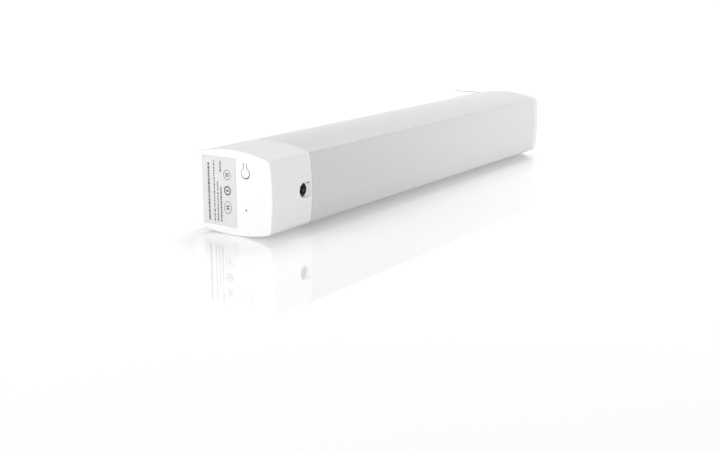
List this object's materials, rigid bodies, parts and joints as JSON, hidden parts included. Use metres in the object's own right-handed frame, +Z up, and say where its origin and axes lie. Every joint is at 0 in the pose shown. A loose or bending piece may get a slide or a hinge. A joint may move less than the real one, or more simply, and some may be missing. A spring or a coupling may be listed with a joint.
{
  "type": "led light tube",
  "caption": "Opal LED light tube with a crowned section, a control cap with power button, status light and DC socket, and a swing-out hanging tab on the far cap.",
  "frame": {"origin": "on the underside, in the middle of the narrow flat that the bar stands on, halfway between the two end faces", "axes": "+X along the bar from the control cap to the far cap, +Y to the side where the hanging tab stands out at rest, +Z up through the crowned top"},
  "size_m": [0.3484, 0.0775, 0.05],
  "materials": {
    "white_plastic": "satin moulded plastic, very fine grain",
    "opal_diffuser": "satin opal extrusion, light diffusing",
    "label_film": "matte printed film",
    "black_plastic": "moulded black plastic",
    "capacitor_sleeve": "shrink sleeve",
    "grey_nylon": "moulded nylon",
    "clear_plastic": "clear moulded light pipe",
    "green_board": "solder mask",
    "white_board": "white solder mask",
    "phosphor": "silicone with phosphor in a white frame",
    "cell_wrap": "heat-shrink sleeve",
    "nickel": "nickel plated",
    "red_lead": "PVC insulation",
    "black_lead": "PVC insulation",
    "grey_lead": "flat cable insulation",
    "aluminium": "extruded, clear anodised",
    "screw_steel": "zinc plated"
  },
  "bodies": {
    "housing": {"battery_cell_left": "cell_wrap", "battery_cell_right": "cell_wrap", "battery_cradle": "grey_nylon", "battery_lead_negative": "black_lead", "battery_lead_positive": "red_lead", "bulkhead": "grey_nylon", "bulkhead_screw_left": "screw_steel", "bulkhead_screw_right": "screw_steel", "cap_screw_lower": "screw_steel", "cap_screw_upper": "screw_steel", "capacitor": "capacitor_sleeve", "cell_link": "nickel", "cell_tab_negative": "nickel", "cell_tab_positive": "nickel", "control_board": "green_board", "control_board_screw_1": "screw_steel", "control_board_screw_2": "screw_steel", "control_cable": "grey_lead", "control_cap": "white_plastic", "dc_socket": "black_plastic", "dc_socket_leaf": "nickel", "dc_socket_pin": "nickel", "diffuser_tube": "opal_diffuser", "driver_board": "green_board", "driver_board_screw_left": "screw_steel", "driver_board_screw_right": "screw_steel", "driver_chip": "black_plastic", "far_cap": "white_plastic", "far_cap_screw_left": "screw_steel", "far_cap_screw_right": "screw_steel", "inductor": "black_plastic", "lead_connector": "white_board", "led_1": "phosphor", "led_10": "phosphor", "led_11": "phosphor", "led_12": "phosphor", "led_2": "phosphor", "led_3": "phosphor", "led_4": "phosphor", "led_5": "phosphor", "led_6": "phosphor", "led_7": "phosphor", "led_8": "phosphor", "led_9": "phosphor", "led_board": "white_board", "led_board_screw_1": "screw_steel", "led_board_screw_2": "screw_steel", "led_board_screw_3": "screw_steel", "led_carrier": "aluminium", "led_lead_negative": "black_lead", "led_lead_positive": "red_lead", "rating_label": "label_film", "status_led": "phosphor", "status_light_pipe": "clear_plastic", "tab_pivot_screw": "screw_steel", "tab_washer": "nickel", "tact_switch_body": "black_plastic"},
    "power_button": {"power_button": "white_plastic"},
    "tact_plunger": {"tact_switch_plunger": "grey_nylon"},
    "hanging_tab": {"hanging_tab": "white_plastic"}
  },
  "joints": [
    {"name": "button_press", "type": "hinge", "parent": "housing", "child": "power_button", "pos_m": [-0.1716, -0.011, 0.0433], "axis": [0, -1, 0], "range_deg": [0, 3], "stiffness_Nm_per_rad": 0.2},
    {"name": "switch_travel", "type": "slide", "parent": "housing", "child": "tact_plunger", "axis": [1, 0, 0], "range_m": [0, 0.00035]},
    {"name": "tab_swing", "type": "hinge", "parent": "housing", "child": "hanging_tab", "pos_m": [0.1743, 0.012, 0.0376], "axis": [1, 0, 0], "range_deg": [-90, 90]}
  ],
  "couplings": [
    {"joint": "switch_travel", "follows": "button_press", "m_per_rad": 0.0059}
  ]
}
